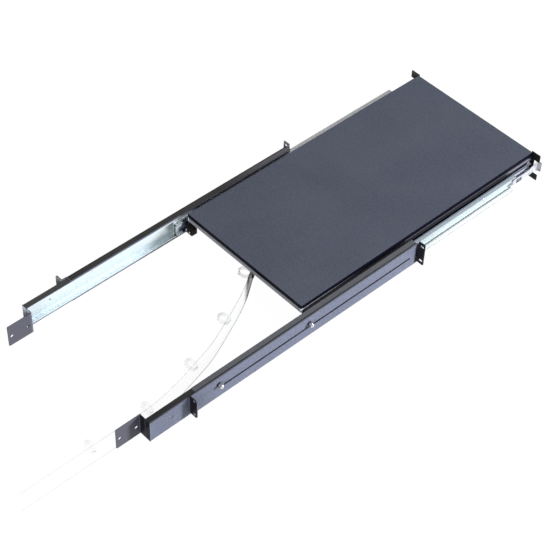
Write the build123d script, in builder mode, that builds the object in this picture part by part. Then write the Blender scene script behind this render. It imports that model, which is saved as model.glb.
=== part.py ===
# Sliding shelf for a 19 inch rack: two depth-adjustable side rails, two three-section
# ball-bearing slides, a flanged steel shelf drawn part of the way out, and the flexible
# ring band that carries the cables behind it.
#
# Millimetres. X runs across the rack (right is positive), Y runs to the back, Z is up.
# The origin is the centre of the four front mounting slots, on the rack's front plane.
# Everything on the right is drawn once and mirrored to the left.
import math
import os

from build123d import *

# Rack
ear_span = 482.6
ear_hole_edge = 8.75
unit_pitch = 44.45

# Main rail
rail_inset = 17.3
rail_height = 66.0
rail_gauge = 2.0
rail_flange = 17.0
rail_front = 9.0
rail_length = 675.0
rail_bend = 2.5
ear_slot_length = 10.5
ear_slot_height = 7.0
ear_corner = 2.5
rear_ear_reach = 21.0
rear_ear_height = 57.0
rear_ear_z = 4.5
rear_ear_setback = 15.0
rear_ear_round = 7.0
rear_ear_hole = 6.5
rear_ear_hole_pitch = 44.45
sight_slot_height = 4.0
sight_slot_z = -2.0
sight_slot_front = 30.0
sight_slot_rear = 605.0

# Rail bolts
bolt_places = (352.0, 619.0)
bolt_z = 9.5
bolt_shank = 6.0
bolt_hole_play = 0.4
bolt_head = 10.0
bolt_head_length = 9.5
washer_size = 13.5
washer_thickness = 3.2

# Rear bracket
nest_gap = 0.15
bracket_gauge = 1.8
bracket_flange = 15.5
bracket_front = 24.0
bracket_end = 809.0
bracket_travel = 80.0
plate_inset = 36.0
plate_length = 65.0
plate_hole = 8.0
plate_hole_setback = 10.5
plate_hole_z = -4.0
web_hole = 7.0
web_hole_setback = 59.0
web_hole_z = 3.0
tooling_hole = 5.0
tooling_hole_setback = 72.0

# Slides
slide_z = 0.0
member_gauge = 1.5
ball_size = 4.76
race_play = 0.3
race_gap = 4.5
slide_front = 10.0
slide_rear_gap = 1.2
outer_half = 28.5
outer_depth = 13.0
outer_lip = 1.6
mid_half = 22.5
mid_web_gap = 0.9
carrier_half = 17.0
inner_half = 11.0
mid_length = 731.0
mid_share = 0.83
cage_gauge = 0.8
cage_gap = 0.4
outer_cage_length = 150.0
outer_cage_centre = 376.0
inner_cage_length = 170.0
inner_cage_centre = 400.0
ball_pitch = 40.0
cage_margin = 12.5
mid_rivet = 5.0
mid_rivet_count = 4

# Shelf
shelf_depth = 781.0
shelf_gauge = 1.5
shelf_top = 39.0
shelf_out = 432.0
shelf_side = 62.0
shelf_lip = 21.0
shelf_hem = 9.0
shelf_bend = 2.2
closed_setback = 3.4
stiffener_width = 46.0
stiffener_flange = 12.0
stiffener_depth = 16.0
stiffener_spread = 110.0
stiffener_margin = 26.0

# Inner (shelf) member of the slide
inner_depth = 8.0
inner_plate_half = 24.5
inner_shelf_lip = 4.0
inner_front_gap = 8.0
inner_rear_gap = 8.0
inner_window_height = 10.0
inner_window_z = 13.0
inner_window_length = 112.0
inner_window_margin = 9.0
inner_long_window_height = 13.0
inner_long_window_z = 15.7
inner_long_window_count = 4
inner_bridge = 7.0
inner_screw = 5.0
inner_screw_head = 8.5
inner_screw_places = (0.08, 0.36, 0.66, 0.94)

# Shelf ears
ear_plate_width = 27.0
ear_plate_top = 41.0
ear_plate_foot = -39.0
ear_plate_gauge = 1.6
ear_notch_foot = -21.5
ear_notch_head = 19.0
ear_notch_depth = 16.0
ear_tab_length = 30.0
ear_tab_height = 34.0
ear_screw = 4.0

# Latch levers
lever_gauge = 1.5
lever_gap = 0.8
lever_height = 20.0
lever_foot = -19.0
lever_tail = 62.0
lever_neck = 6.0
lever_curl = 9.0
lever_tip = 4.0
lever_tip_height = 28.0
lever_tip_foot = -16.5
lever_window_length = 13.0
lever_window_height = 7.0
lever_window_setback = 16.0
pivot_setback = 9.0
pivot_z = -9.0
pivot_size = 6.0
pivot_head = 10.0
pivot_head_thickness = 1.6
pivot_notch = 10.6
pivot_notch_play = 1.5

# Band for the cables
band_height = 58.0
band_gauge = 1.2
band_rear = 1118.0
band_wall_gap = 2.6
band_straight_y = 800.0
band_start_x = -3.5
band_tuck = 32.8
band_bow = ((0.29, 0.156), (0.538, 0.340), (0.78, 0.564))
ring_size = 30.0
ring_gauge = 2.0
ring_width = 10.0
ring_pitch = 155.0
ring_start = 28.5
ring_z = 1.5
ring_opening = 36.0
ring_count = 5
ring_rivet = 4.0
clamp_width = 18.0
clamp_grip_gap = 0.15
clamp_gauge = 2.5

# Stop block under the shelf's rear right corner
block_width = 27.0
block_depth = 15.0
block_height = 19.0
block_gauge = 2.5
block_edge = 7.5
block_screw = 5.6

# Worked-out places
hole_span = ear_span - 2 * ear_hole_edge
web_face = ear_span / 2 - rail_inset
rail_rear = rail_front + rail_length
rear_ear_y = rail_rear + rear_ear_setback
bracket_face = web_face - rail_gauge - nest_gap
member_face = bracket_face - bracket_gauge - nest_gap
rail_foot = -rail_height / 2
rail_head = rail_height / 2
bracket_foot = rail_foot + rail_gauge + nest_gap
bracket_head = rail_head - rail_gauge - nest_gap
band_foot = rail_foot
plate_face = web_face - plate_inset
plate_rear = bracket_end + plate_length
slide_rear = bracket_end - bracket_gauge - slide_rear_gap
outer_edge = member_face - outer_depth
outer_race_z = outer_half - member_gauge - race_gap / 2
mid_web_face = outer_edge - mid_web_gap
mid_flange_tip = member_face - member_gauge - cage_gap - cage_gauge - cage_gap
outer_race_x = (mid_web_face + mid_flange_tip) / 2
carrier_face = mid_web_face - 2 * member_gauge
shelf_face = carrier_face - inner_depth
shelf_width = 2 * shelf_face
shelf_front = closed_setback - shelf_out - ear_plate_gauge
shelf_rear = shelf_front + shelf_depth
inner_face = shelf_face + member_gauge
inner_flange_tip = carrier_face - cage_gap - cage_gauge - cage_gap
inner_race_z = carrier_half - member_gauge - race_gap / 2
inner_race_x = (inner_face + inner_flange_tip) / 2 + 0.4
carrier_flange_tip = inner_face + 0.8
mid_out = shelf_out * mid_share
mid_front = slide_front + 2.0 - mid_out
mid_rear = mid_front + mid_length
inner_front = shelf_front + inner_front_gap
inner_rear = shelf_rear - inner_rear_gap
pivot_y = inner_front + pivot_setback
lever_face = mid_web_face + lever_gap
pivot_closed_y = pivot_y + shelf_out
notch_end = pivot_closed_y - mid_out + pivot_notch / 2 + pivot_notch_play
ear_face_y = shelf_front - ear_plate_gauge


def member(section, y_from, y_to):
    """A rolled member: its section, drawn in X and Z, run from y_from to y_to."""
    rear_plane = Plane(origin=(0, y_to, 0), x_dir=(1, 0, 0), z_dir=(0, -1, 0))
    with BuildPart() as rolled:
        extrude(rear_plane * section, amount=y_to - y_from)
    return rolled.part


def strip(x_from, x_to, z_from, z_to):
    """One wall of a section, between two X and two Z values."""
    with Locations(((x_from + x_to) / 2, (z_from + z_to) / 2)):
        Rectangle(abs(x_to - x_from), abs(z_to - z_from))


def cross_drill(size, places, x_from, x_to):
    """Round holes along X at (y, z) places."""
    for y, z in places:
        with BuildSketch(Plane(origin=(x_from, y, z), x_dir=(0, 1, 0), z_dir=(1, 0, 0))) as hole:
            Circle(size / 2)
        extrude(hole.sketch, amount=x_to - x_from, mode=Mode.SUBTRACT)


def cross_slot(x_from, x_to, y_from, y_to, z, height, round_ends=True):
    """A slot through a wall that faces X, from y_from to y_to."""
    middle = (y_from + y_to) / 2
    with BuildSketch(Plane(origin=(x_from, middle, z), x_dir=(0, 1, 0), z_dir=(1, 0, 0))) as slot:
        if round_ends:
            SlotOverall(abs(y_to - y_from), height)
        else:
            RectangleRounded(abs(y_to - y_from), height, height * 0.12)
    extrude(slot.sketch, amount=x_to - x_from, mode=Mode.SUBTRACT)


# Main rail: a channel open to the inside, its web run on at both ends into an ear
def main_rail():
    with BuildSketch() as channel:
        strip(web_face - rail_gauge, web_face, rail_foot, rail_head)
        strip(web_face - rail_flange, web_face, rail_foot, rail_foot + rail_gauge)
        strip(web_face - rail_flange, web_face, rail_head - rail_gauge, rail_head)
        fillet(channel.vertices().group_by(Axis.X)[-1], rail_bend)
    with BuildPart() as rail:
        add(member(channel.sketch, rail_front, rail_rear))
        # web carried forward to the front ear
        with BuildSketch(Plane.YZ.offset(web_face - rail_gauge)):
            with Locations(((rail_front - rail_gauge) / 2, 0)):
                Rectangle(rail_front + rail_gauge, rail_height - 2 * rail_bend)
        extrude(amount=rail_gauge)
        # front ear, its rear face on the mounting plane
        ear_reach = ear_span / 2 - web_face + rail_gauge
        with BuildSketch(Plane.XZ) as front_ear:
            with Locations(((web_face - rail_gauge + ear_span / 2) / 2, 0)):
                Rectangle(ear_reach, rail_height)
            fillet(front_ear.vertices().group_by(Axis.X)[-1], ear_corner)
            with Locations((hole_span / 2, 0)):
                with GridLocations(0, unit_pitch, 1, 2):
                    SlotOverall(ear_slot_length, ear_slot_height, mode=Mode.SUBTRACT)
        extrude(amount=rail_gauge)
        # tongue and rear ear
        with BuildSketch(Plane.YZ.offset(web_face - rail_gauge)):
            with Locations(((rail_rear + rear_ear_y) / 2, rear_ear_z)):
                Rectangle(rear_ear_setback, rear_ear_height)
        extrude(amount=rail_gauge)
        with BuildSketch(Plane.XZ.offset(-rear_ear_y)) as rear_ear:
            with Locations((web_face - rail_gauge + (rear_ear_reach + rail_gauge) / 2, rear_ear_z)):
                Rectangle(rear_ear_reach + rail_gauge, rear_ear_height)
            fillet(rear_ear.vertices().group_by(Axis.X)[-1], rear_ear_round)
            with Locations((web_face + rear_ear_reach * 0.58, rear_ear_z)):
                with GridLocations(0, rear_ear_hole_pitch, 1, 2):
                    Circle(rear_ear_hole / 2, mode=Mode.SUBTRACT)
        extrude(amount=rail_gauge)
        cross_slot(web_face - rail_gauge, web_face, sight_slot_front, sight_slot_rear,
                   sight_slot_z, sight_slot_height)
        cross_drill(bolt_shank + bolt_hole_play, [(y, bolt_z) for y in bolt_places],
                    web_face - rail_gauge, web_face)
    return rail.part


# Rail bolts, clamping rail, bracket and slide; they stand out of the web
def rail_bolts():
    with BuildPart() as bolts:
        for y in bolt_places:
            with Locations(Location((member_face - member_gauge + 0.1, y, bolt_z), (0, 90, 0))):
                Cylinder(bolt_shank / 2, web_face + washer_thickness - member_face + member_gauge,
                         align=(Align.CENTER, Align.CENTER, Align.MIN))
            with Locations(Location((web_face + washer_thickness, y, bolt_z), (0, 90, 0))):
                Cylinder(bolt_head / 2, bolt_head_length,
                         align=(Align.CENTER, Align.CENTER, Align.MIN))
        rims = bolts.edges().filter_by(GeomType.CIRCLE).group_by(Axis.X)[-1]
        chamfer(rims, bolt_head * 0.22)
    return bolts.part


def bolt_washers():
    with BuildPart() as washers:
        for y in bolt_places:
            with BuildSketch(Plane(origin=(web_face + 0.02, y, bolt_z), x_dir=(0, 1, 0),
                                   z_dir=(1, 0, 0))):
                RegularPolygon(washer_size / 2, 6)
                Circle(bolt_shank / 2 + 0.05, mode=Mode.SUBTRACT)
            extrude(amount=washer_thickness - 0.04)
        chamfer(washers.faces().sort_by(Axis.X)[-2:].edges().filter_by(GeomType.LINE), 0.5)
    return washers.part


# Rear bracket: a channel nested in the rail, joggled inward to a plate with two holes
def rear_bracket():
    with BuildSketch() as channel:
        strip(bracket_face - bracket_gauge, bracket_face, bracket_foot, bracket_head)
        strip(bracket_face - bracket_flange, bracket_face, bracket_foot,
              bracket_foot + bracket_gauge)
        strip(bracket_face - bracket_flange, bracket_face, bracket_head - bracket_gauge,
              bracket_head)
        fillet(channel.vertices().group_by(Axis.X)[-1], rail_bend)
    height = bracket_head - bracket_foot
    middle = (bracket_head + bracket_foot) / 2
    with BuildPart() as bracket:
        add(member(channel.sketch, bracket_front, bracket_end))
        with BuildSketch(Plane.XY.offset(bracket_foot)):
            with BuildLine():
                Polyline(
                    (bracket_face, bracket_end - bracket_gauge),
                    (bracket_face, bracket_end),
                    (plate_face + bracket_gauge, bracket_end),
                    (plate_face + bracket_gauge, plate_rear),
                    (plate_face, plate_rear),
                    (plate_face, bracket_end - bracket_gauge),
                    close=True,
                )
            make_face()
        extrude(amount=height)
        joggle = bracket.edges().filter_by(Axis.Z).filter_by(
            lambda e: abs(e.center().X - plate_face) < 0.01
            and abs(e.center().Y - bracket_end + bracket_gauge) < 0.01)
        fillet(joggle, bracket_gauge * 0.8)
        tail = bracket.edges().filter_by(Axis.X).group_by(Axis.Y)[-1]
        fillet(tail, 3.0)
        plate_holes = [(bracket_end + plate_hole_setback, plate_hole_z),
                       (bracket_end + plate_hole_setback + unit_pitch, plate_hole_z)]
        cross_drill(plate_hole, plate_holes, plate_face - 1, plate_face + bracket_gauge + 1)
        cross_drill(web_hole, [(bracket_end - web_hole_setback, web_hole_z)],
                    bracket_face - bracket_gauge - 0.5, bracket_face + 0.5)
        for y in bolt_places:
            reach = bolt_shank / 2 + bolt_hole_play
            cross_slot(bracket_face - bracket_gauge - 0.5, bracket_face + 0.5,
                       y - bracket_travel - reach, y + reach, bolt_z, 2 * reach)
        # a step in the rear of each flange, where the section narrows to the plate
        with Locations((bracket_face - bracket_flange, bracket_end, middle)):
            Box(1.2, 3.0, height + 2, mode=Mode.SUBTRACT)
    return bracket.part


# Stationary member of the slide
def outer_member():
    with BuildSketch() as section:
        strip(member_face - member_gauge, member_face, slide_z - outer_half, slide_z + outer_half)
        for way in (-1, 1):
            strip(outer_edge, member_face, slide_z + way * outer_half,
                  slide_z + way * (outer_half - member_gauge))
            strip(outer_edge, outer_edge + member_gauge * 0.7, slide_z + way * outer_half,
                  slide_z + way * (outer_half - member_gauge - outer_lip))
        fillet(section.vertices().group_by(Axis.X)[-1], member_gauge * 0.9)
        with Locations((outer_race_x, slide_z - outer_race_z), (outer_race_x, slide_z + outer_race_z)):
            Circle(ball_size / 2 + race_play, mode=Mode.SUBTRACT)
    with BuildPart() as outer:
        add(member(section.sketch, slide_front, slide_rear))
        cross_drill(bolt_shank + bolt_hole_play, [(y, bolt_z) for y in bolt_places],
                    member_face - member_gauge, member_face)
        cross_drill(tooling_hole, [(bracket_end - tooling_hole_setback, slide_z)],
                    member_face - member_gauge, member_face)
    return outer.part


# Intermediate member: two channels back to back, riveted through their webs
def mid_channel():
    with BuildSketch() as section:
        strip(mid_web_face - member_gauge, mid_web_face, slide_z - mid_half, slide_z + mid_half)
        for way in (-1, 1):
            strip(mid_web_face - member_gauge, mid_flange_tip, slide_z + way * mid_half,
                  slide_z + way * (mid_half - member_gauge))
        fillet(section.vertices().group_by(Axis.X)[0], member_gauge * 0.9)
        with Locations((outer_race_x, slide_z - outer_race_z), (outer_race_x, slide_z + outer_race_z)):
            Circle(ball_size / 2 + race_play, mode=Mode.SUBTRACT)
    with BuildPart() as channel:
        add(member(section.sketch, mid_front, mid_rear))
        cross_drill(mid_rivet, mid_rivet_places(), mid_web_face - member_gauge,
                    mid_web_face)
        pivot_way(mid_web_face - member_gauge, mid_web_face)
    return channel.part


def pivot_way(x_from, x_to):
    """Notch in the front of a web, where the lever's pivot stands when the shelf is home."""
    cross_slot(x_from - 0.5, x_to + 0.5, mid_front - pivot_notch, notch_end, pivot_z, pivot_notch)


def mid_rivet_places():
    first = mid_front + mid_length * 0.14
    pitch = mid_length * 0.72 / (mid_rivet_count - 1)
    return [(first + pitch * k, slide_z) for k in range(mid_rivet_count)]


def mid_carrier():
    web_out = mid_web_face - member_gauge
    with BuildSketch() as section:
        strip(carrier_face, web_out, slide_z - carrier_half, slide_z + carrier_half)
        for way in (-1, 1):
            strip(carrier_flange_tip, web_out, slide_z + way * carrier_half,
                  slide_z + way * (carrier_half - member_gauge))
        fillet(section.vertices().group_by(Axis.X)[-1], member_gauge * 0.9)
        with Locations((inner_race_x, slide_z - inner_race_z), (inner_race_x, slide_z + inner_race_z)):
            Circle(ball_size / 2 + race_play, mode=Mode.SUBTRACT)
    with BuildPart() as carrier:
        add(member(section.sketch, mid_front + 1, mid_rear - 1))
        cross_drill(mid_rivet, mid_rivet_places(), carrier_face, web_out)
        pivot_way(carrier_face, web_out)
    return carrier.part


def mid_rivets():
    with BuildPart() as rivets:
        for y, z in mid_rivet_places():
            with Locations(Location((carrier_face + 0.1, y, z), (0, 90, 0))):
                Cylinder(mid_rivet / 2 - 0.05, 2 * member_gauge - 0.1,
                         align=(Align.CENTER, Align.CENTER, Align.MIN))
            with Locations(Location((mid_web_face, y, z), (0, 90, 0))):
                Cylinder(mid_rivet * 0.8, 0.5, align=(Align.CENTER, Align.CENTER, Align.MIN))
        rims = rivets.edges().filter_by(GeomType.CIRCLE).group_by(Axis.X)[-1]
        chamfer(rims, 0.3)
    return rivets.part


# Inner member: a lipped plate screwed to the shelf's side, with the two race flanges on it
def inner_member():
    with BuildSketch() as section:
        strip(shelf_face, inner_face, slide_z - inner_plate_half, slide_z + inner_plate_half)
        for way in (-1, 1):
            strip(shelf_face, inner_face + inner_shelf_lip, slide_z + way * inner_plate_half,
                  slide_z + way * (inner_plate_half - member_gauge))
            strip(shelf_face, inner_flange_tip, slide_z + way * inner_half,
                  slide_z + way * (inner_half - member_gauge))
        with Locations((inner_race_x, slide_z - inner_race_z), (inner_race_x, slide_z + inner_race_z)):
            Circle(ball_size / 2 + race_play, mode=Mode.SUBTRACT)
    with BuildPart() as inner:
        add(member(section.sketch, inner_front, inner_rear))
        window_front = inner_front + inner_window_margin
        cross_slot(shelf_face - 0.5, inner_face + 0.5, window_front,
                   window_front + inner_window_length, inner_window_z, inner_window_height, False)
        first = window_front + inner_window_length + inner_bridge
        room = inner_rear - inner_window_margin - first
        pitch = (room + inner_bridge) / inner_long_window_count
        for k in range(inner_long_window_count):
            cross_slot(shelf_face - 0.5, inner_face + 0.5, first + pitch * k,
                       first + pitch * (k + 1) - inner_bridge, inner_long_window_z,
                       inner_long_window_height, False)
        cross_drill(inner_screw, inner_screw_spots(), shelf_face, inner_face)
        cross_drill(pivot_size + bolt_hole_play, [(pivot_y, pivot_z)],
                    shelf_face - 0.5, inner_flange_tip + 1)
    return inner.part


def inner_screw_spots():
    length = inner_rear - inner_front
    return [(inner_front + length * share, slide_z) for share in inner_screw_places]


def inner_screws():
    reach = 2 * shelf_gauge
    with BuildPart() as screws:
        for y, z in inner_screw_spots():
            with Locations(Location((shelf_face - shelf_gauge - reach, y, z), (0, 90, 0))):
                Cylinder(inner_screw / 2 - 0.1, reach + shelf_gauge + member_gauge,
                         align=(Align.CENTER, Align.CENTER, Align.MIN))
            with Locations(Location((inner_face, y, z), (0, 90, 0))):
                Cylinder(inner_screw_head / 2, 1.6, align=(Align.CENTER, Align.CENTER, Align.MIN))
            with BuildSketch(Plane(origin=(shelf_face - shelf_gauge, y, z), x_dir=(0, 1, 0),
                                   z_dir=(-1, 0, 0))):
                RegularPolygon(inner_screw * 0.9, 6)
            extrude(amount=reach)
        rims = screws.edges().filter_by(GeomType.CIRCLE).group_by(Axis.X)[-1]
        chamfer(rims, 0.6)
    return screws.part


# Ball cages: thin channels with a row of pockets in each flange
def cage_balls(y_middle, length):
    count = int((length - 2 * cage_margin) / ball_pitch) + 1
    first = y_middle - ball_pitch * (count - 1) / 2
    return [first + ball_pitch * k for k in range(count)]


def cage(web_from, web_to, flange_tip, race_x, race_z, y_middle, length):
    with BuildSketch() as section:
        edge = race_z + cage_gauge / 2
        strip(web_from, web_to, slide_z - edge, slide_z + edge)
        for way in (-1, 1):
            strip(web_to, flange_tip, slide_z + way * edge, slide_z + way * (edge - cage_gauge))
    with BuildPart() as shell:
        add(member(section.sketch, y_middle - length / 2, y_middle + length / 2))
        for y in cage_balls(y_middle, length):
            with Locations((race_x, y, slide_z)):
                Cylinder(ball_size / 2 + 0.25, 2 * race_z + 4, mode=Mode.SUBTRACT)
    return shell.part


def balls(race_x, race_z, y_middle, length):
    with BuildPart() as row:
        for y in cage_balls(y_middle, length):
            with Locations((race_x, y, slide_z - race_z), (race_x, y, slide_z + race_z)):
                Sphere(ball_size / 2)
    return row.part


outer_cage_y = outer_cage_centre - mid_out / 2
inner_cage_y = inner_cage_centre - (mid_out + shelf_out) / 2


def outer_cage():
    web_to = member_face - member_gauge - cage_gap
    return cage(web_to - cage_gauge, web_to, outer_race_x - ball_size / 2 - 1.0,
                outer_race_x, outer_race_z, outer_cage_y, outer_cage_length)


def outer_balls():
    return balls(outer_race_x, outer_race_z, outer_cage_y, outer_cage_length)


def inner_cage():
    web_to = carrier_face - cage_gap
    return cage(web_to - cage_gauge, web_to, inner_face + 0.6,
                inner_race_x, inner_race_z, inner_cage_y, inner_cage_length)


def inner_balls():
    return balls(inner_race_x, inner_race_z, inner_cage_y, inner_cage_length)


# Latch lever: a flat strap on a rivet at the front of the inner member, its front end
# curled outward through the notch of the shelf's ear into a finger tab
def latch_lever():
    tail_y = pivot_y + lever_tail
    neck_y = ear_face_y - lever_neck + lever_curl / 2
    middle = lever_face + lever_gauge / 2
    with BuildPart() as lever:
        with BuildSketch(Plane.XY.offset(lever_tip_foot)):
            with BuildLine() as run:
                straight = Line((middle, tail_y), (middle, neck_y))
                curl = CenterArc((middle + lever_curl, neck_y), lever_curl, 180, 78)
                Line(curl @ 1, curl @ 1 + (curl % 1) * lever_tip)
            trace(line_width=lever_gauge)
        extrude(amount=lever_tip_height)
        # side outline: a level strap that rises into the tab
        with BuildSketch(Plane.YZ.offset(middle - lever_gauge)) as outline:
            with BuildLine():
                strap_head = lever_foot + lever_height
                tip_head = lever_tip_foot + lever_tip_height
                reach = neck_y - lever_curl - lever_tip
                Polyline(
                    (tail_y, lever_foot),
                    (tail_y, strap_head),
                    (pivot_y + 6, strap_head),
                    (neck_y - 2, tip_head),
                    (reach, tip_head),
                    (reach, lever_tip_foot),
                    (neck_y - 2, lever_tip_foot),
                    (pivot_y + 6, lever_foot),
                    close=True,
                )
            make_face()
        extrude(amount=lever_curl * 2 + lever_tip + 4, mode=Mode.INTERSECT)
        cross_slot(lever_face - 0.5, lever_face + lever_gauge + 0.5,
                   tail_y - lever_window_setback - lever_window_length,
                   tail_y - lever_window_setback, lever_foot + lever_height / 2,
                   lever_window_height, False)
        cross_drill(pivot_size + 0.2, [(pivot_y, pivot_z)], lever_face - 0.5,
                    lever_face + lever_gauge + 0.5)
        tail_corners = lever.edges().filter_by(Axis.X).group_by(Axis.Y)[-1]
        fillet(tail_corners, 4.0)
    return lever.part


def lever_pivot():
    with BuildPart() as pin:
        with Locations(Location((shelf_face + 0.1, pivot_y, pivot_z), (0, 90, 0))):
            Cylinder(pivot_size / 2, lever_face + lever_gauge + 0.4 - shelf_face,
                     align=(Align.CENTER, Align.CENTER, Align.MIN))
        with Locations(Location((lever_face + lever_gauge + 0.4, pivot_y, pivot_z), (0, 90, 0))):
            Cylinder(pivot_head / 2, pivot_head_thickness,
                     align=(Align.CENTER, Align.CENTER, Align.MIN))
        # shoulder that keeps the strap off the member
        with Locations(Location((inner_flange_tip + 1.4, pivot_y, pivot_z), (0, 90, 0))):
            Cylinder(pivot_head / 2 - 0.5, lever_face - 0.3 - inner_flange_tip - 1.4,
                     align=(Align.CENTER, Align.CENTER, Align.MIN))
        rims = pin.edges().filter_by(GeomType.CIRCLE).group_by(Axis.X)[-1]
        chamfer(rims, 0.6)
    return pin.part


# Ear on the shelf's front corner: a plate across the slide with a notch for the lever
def shelf_ear():
    tab_face = shelf_face - shelf_gauge - nest_gap
    outer_x = tab_face - ear_plate_gauge + ear_plate_width
    height = ear_plate_top - ear_plate_foot
    with BuildPart() as ear:
        with BuildSketch(Plane.XZ.offset(-shelf_front)) as plate:
            with Locations(((tab_face - ear_plate_gauge + outer_x) / 2,
                            (ear_plate_top + ear_plate_foot) / 2)):
                Rectangle(ear_plate_width, height)
            fillet(plate.vertices().group_by(Axis.X)[-1], 2.0)
            with Locations((outer_x, (ear_notch_foot + ear_notch_head) / 2)):
                Rectangle(2 * ear_notch_depth, ear_notch_head - ear_notch_foot,
                          mode=Mode.SUBTRACT)
        extrude(amount=ear_plate_gauge)
        tab_head = shelf_top - shelf_lip - 1.0
        with BuildSketch(Plane.YZ.offset(tab_face - ear_plate_gauge)):
            with Locations((shelf_front + ear_tab_length / 2, tab_head - ear_tab_height / 2)):
                Rectangle(ear_tab_length, ear_tab_height)
        extrude(amount=ear_plate_gauge)
        cross_drill(ear_screw, ear_screw_spots(), tab_face - ear_plate_gauge - 0.5,
                    tab_face + 0.5)
    return ear.part


def ear_screw_spots():
    tab_head = shelf_top - shelf_lip - 1.0
    return [(shelf_front + ear_tab_length * 0.6, tab_head - ear_tab_height * share)
            for share in (0.22, 0.78)]


def ear_rivets():
    tab_inner = shelf_face - shelf_gauge - nest_gap - ear_plate_gauge
    with BuildPart() as rivets:
        for y, z in ear_screw_spots():
            with Locations(Location((tab_inner - 1.2, y, z), (0, 90, 0))):
                Cylinder(ear_screw * 0.9, 1.2, align=(Align.CENTER, Align.CENTER, Align.MIN))
            with Locations(Location((tab_inner, y, z), (0, 90, 0))):
                Cylinder(ear_screw / 2 - 0.1, ear_plate_gauge + nest_gap + shelf_gauge - 0.1,
                         align=(Align.CENTER, Align.CENTER, Align.MIN))
    return rivets.part


# Shelf: folded sheet with side walls, front and rear lips and a hem behind
def shelf():
    with BuildPart() as tray:
        with Locations((0, (shelf_front + shelf_rear) / 2, shelf_top)):
            Box(shelf_width, shelf_depth, shelf_side, align=(Align.CENTER, Align.CENTER, Align.MAX))
        fillet(tray.edges().filter_by(Axis.Z), shelf_bend)
        fillet(tray.faces().sort_by(Axis.Z)[-1].edges(), shelf_bend)
        offset(amount=-shelf_gauge, openings=tray.faces().sort_by(Axis.Z)[0])
        # the side walls keep their full height, the end walls stop at the lip
        for y in (shelf_front, shelf_rear):
            with Locations((0, y, shelf_top - shelf_lip)):
                Box(shelf_width + 2, 2 * (shelf_bend + shelf_gauge), shelf_side,
                    align=(Align.CENTER, Align.CENTER, Align.MAX), mode=Mode.SUBTRACT)
        # hems folded inward along both lips
        for y, way in ((shelf_front, 1), (shelf_rear, -1)):
            with Locations((0, y + way * shelf_hem / 2, shelf_top - shelf_lip)):
                Box(shelf_width - 4 * shelf_bend, shelf_hem, shelf_gauge,
                    align=(Align.CENTER, Align.CENTER, Align.MIN))
        for side in (-1, 1):
            spots = inner_screw_spots()
            wall = side * (shelf_face - shelf_gauge / 2)
            cross_drill(inner_screw, spots, wall - shelf_gauge, wall + shelf_gauge)
            cross_drill(ear_screw, ear_screw_spots(), wall - shelf_gauge, wall + shelf_gauge)
    return tray.part


def stiffeners():
    foot = shelf_top - shelf_gauge
    half = stiffener_width / 2
    with BuildSketch() as hat:
        strip(-half, half, foot - stiffener_depth, foot - stiffener_depth + shelf_gauge)
        for way in (-1, 1):
            strip(way * half, way * (half - shelf_gauge), foot - stiffener_depth, foot - 0.1)
            strip(way * (half - shelf_gauge), way * (half + stiffener_flange), foot - shelf_gauge,
                  foot - 0.1)
    with BuildPart() as hats:
        blank = member(hat.sketch, shelf_front + stiffener_margin, shelf_rear - stiffener_margin)
        with Locations((-stiffener_spread, 0, 0), (stiffener_spread, 0, 0)):
            add(blank)
    return hats.part


# Stop block: a folded cup screwed behind the shelf's rear right corner
def block_centre():
    return shelf_face - block_edge - block_width / 2, shelf_top - shelf_lip - block_height / 2


def stop_block():
    x, z = block_centre()
    with BuildPart() as block:
        with Locations((x, shelf_rear + block_depth / 2, z)):
            Box(block_width, block_depth, block_height)
        fillet(block.edges().filter_by(Axis.Y), 3.0)
        offset(amount=-block_gauge, openings=block.faces().sort_by(Axis.Y)[0])
        # tongue under the shelf, on the hem
        with Locations((x, shelf_rear - shelf_hem, shelf_top - shelf_lip - 0.1)):
            Box(block_width - 4, 2 * shelf_hem + block_depth, block_gauge,
                align=(Align.CENTER, Align.CENTER, Align.MAX))
        with Locations(Location((x, shelf_rear + block_depth, z), (90, 0, 0))):
            with GridLocations(block_width * 0.45, 0, 2, 1):
                Cylinder(block_screw * 0.3, 4 * block_gauge, mode=Mode.SUBTRACT)
    return block.part


def block_screws():
    x, z = block_centre()
    rear = shelf_rear + block_depth
    with BuildPart() as screws:
        with Locations(Location((x, rear, z), (-90, 0, 0))):
            with GridLocations(block_width * 0.45, 0, 2, 1):
                Cylinder(block_screw / 2, 3.2, align=(Align.CENTER, Align.CENTER, Align.MIN))
        rims = screws.edges().filter_by(GeomType.CIRCLE).group_by(Axis.Y)[-1]
        chamfer(rims, 0.9)
        with Locations(Location((x, rear + 0.5, z), (90, 0, 0))):
            with GridLocations(block_width * 0.45, 0, 2, 1):
                Cylinder(block_screw * 0.3 - 0.1, block_depth * 0.6, align=(Align.CENTER, Align.CENTER, Align.MIN))
    return screws.part


# Flexible band for the cables, standing on edge, from under the shelf to behind the rack
band_x = -(plate_face - band_wall_gap - band_gauge / 2)
band_start_y = shelf_rear - band_tuck


def band_line():
    """Middle line of the band in plan: an easy bow, then straight along the left plate.
    The bow's points are shares of the way across and back from its first point."""
    across = band_x - band_start_x
    back = band_straight_y - band_start_y
    points = [(band_start_x + across * u, band_start_y + back * v) for u, v in band_bow]
    with BuildLine() as path:
        bow = Spline((band_start_x, band_start_y), *points, (band_x, band_straight_y),
                     tangents=((-0.66, 1), (0, 1)))
        Line(bow @ 1, (band_x, band_rear))
    return path.wires()[0]


def cable_band():
    with BuildPart() as band:
        with BuildSketch(Plane.XY.offset(band_foot)):
            with BuildLine():
                add(band_line())
            trace(line_width=band_gauge)
        extrude(amount=band_height)
        # the front end is cut down to pass below the hem of the shelf
        room = shelf_top - shelf_lip - 1.0
        with Locations((band_start_x, shelf_rear - 40, room)):
            Box(120, 90, band_height, align=(Align.CENTER, Align.CENTER, Align.MIN),
                mode=Mode.SUBTRACT)
    return band.part


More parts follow.
